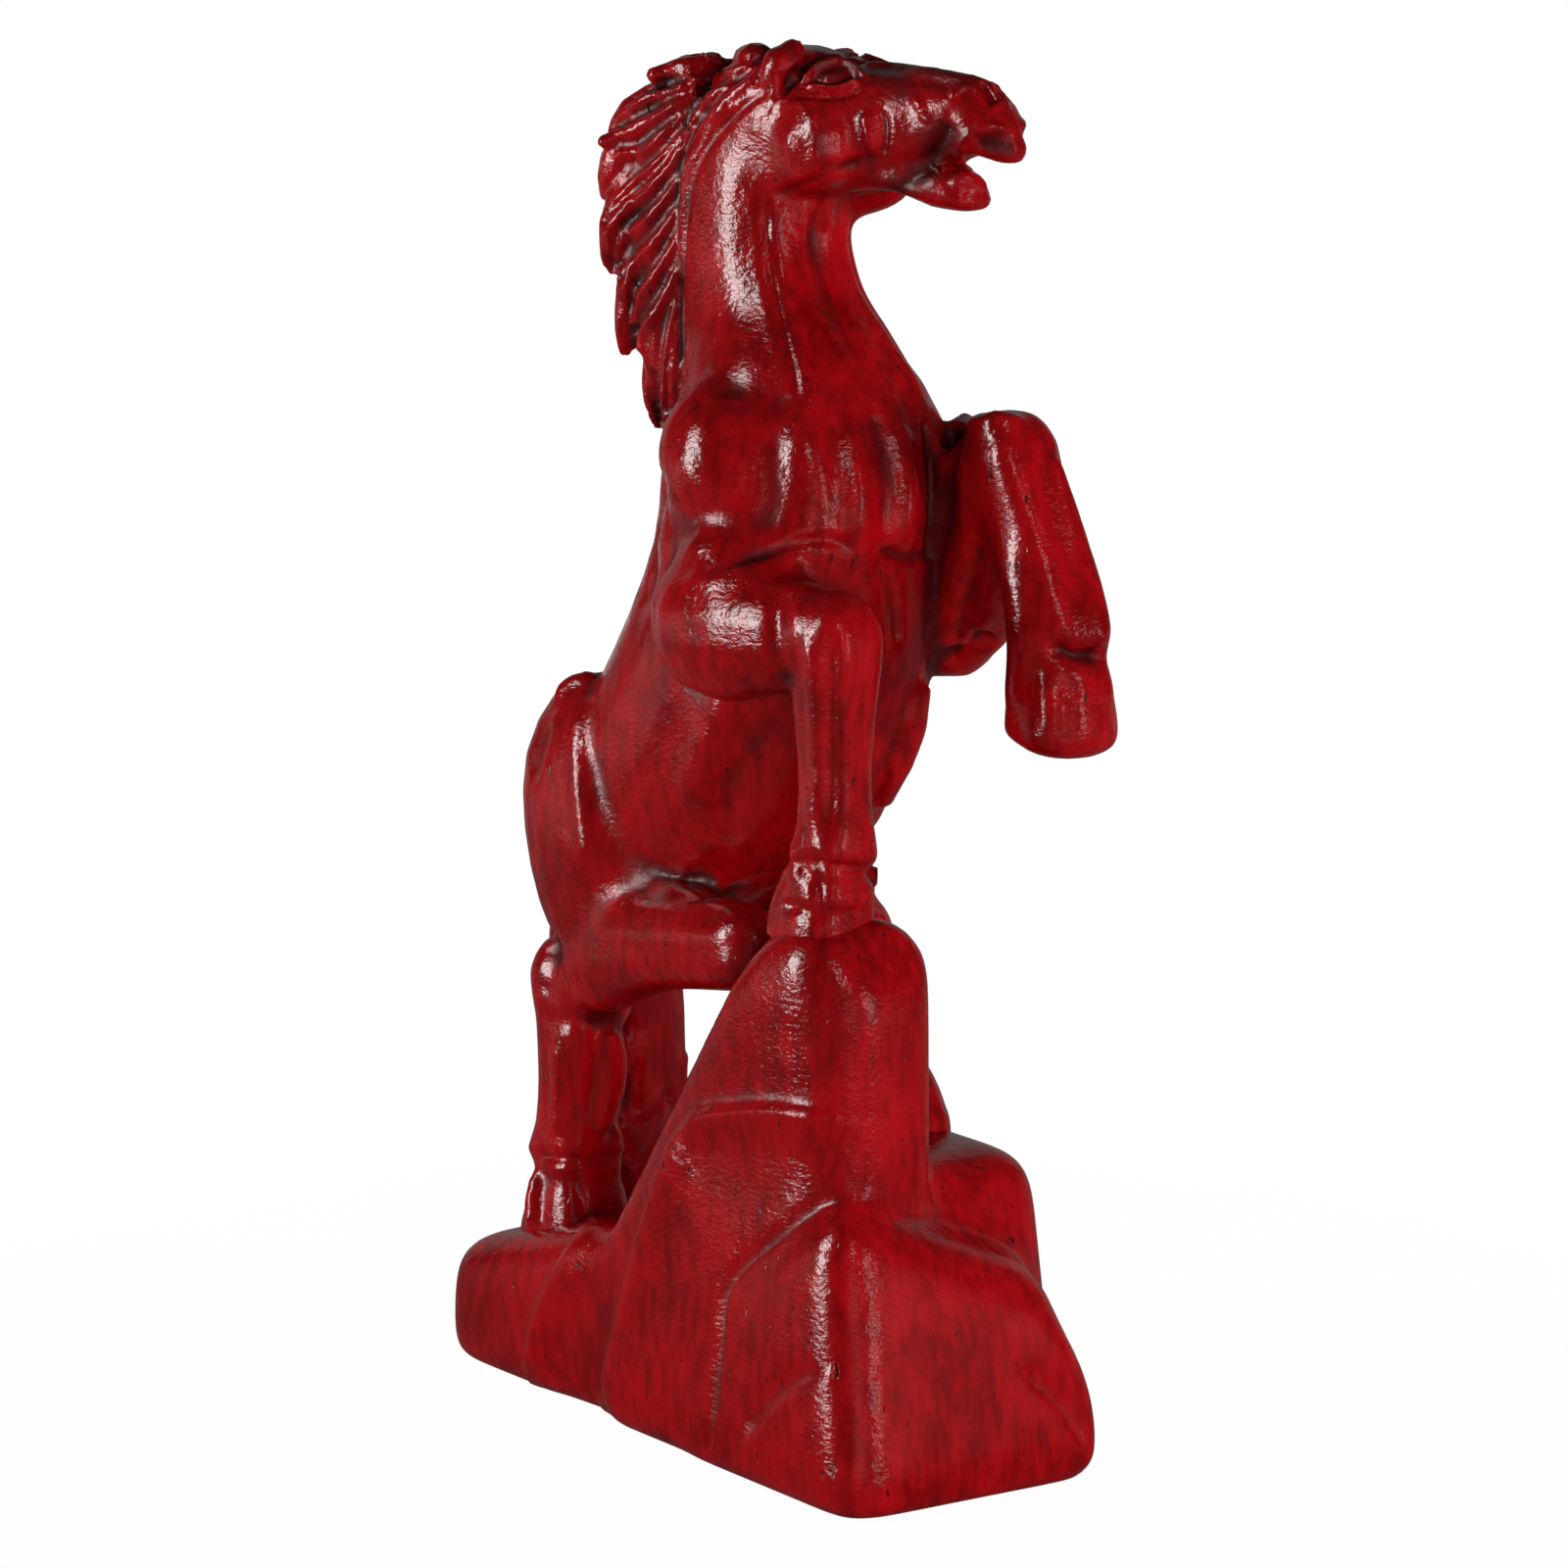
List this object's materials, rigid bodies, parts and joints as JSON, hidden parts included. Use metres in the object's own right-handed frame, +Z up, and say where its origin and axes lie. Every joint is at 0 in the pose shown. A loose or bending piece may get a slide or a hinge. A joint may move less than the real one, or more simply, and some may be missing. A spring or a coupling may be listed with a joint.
{
  "type": "horse figurine",
  "caption": "Carved wooden horse rearing over a craggy rock, with a flowing mane and a long tail, stained deep red under gloss lacquer; a free-standing shelf ornament.",
  "frame": {"origin": "on the flat underside of the rock, below the horse's middle plane", "axes": "+Z up, +X from the tail to the chest, +Y to the horse's left"},
  "size_m": [0.0803, 0.0391, 0.1424],
  "materials": {
    "red_lacquer": "deep red stain under gloss lacquer",
    "dowel_wood": "raw turned wood"
  },
  "bodies": {
    "root": {"body": "red_lacquer", "neck_and_head": "red_lacquer", "mane": "red_lacquer", "foreleg_right": "red_lacquer", "foreleg_left": "red_lacquer", "hind_leg_right": "red_lacquer", "hind_leg_left": "red_lacquer", "tail": "red_lacquer", "rock_peak": "red_lacquer", "rear_ledge": "red_lacquer", "front_boulder": "red_lacquer", "left_boulder": "red_lacquer", "limb_dowels": "dowel_wood", "hoof_dowels": "dowel_wood", "rock_dowels": "dowel_wood"}
  },
  "joints": []
}
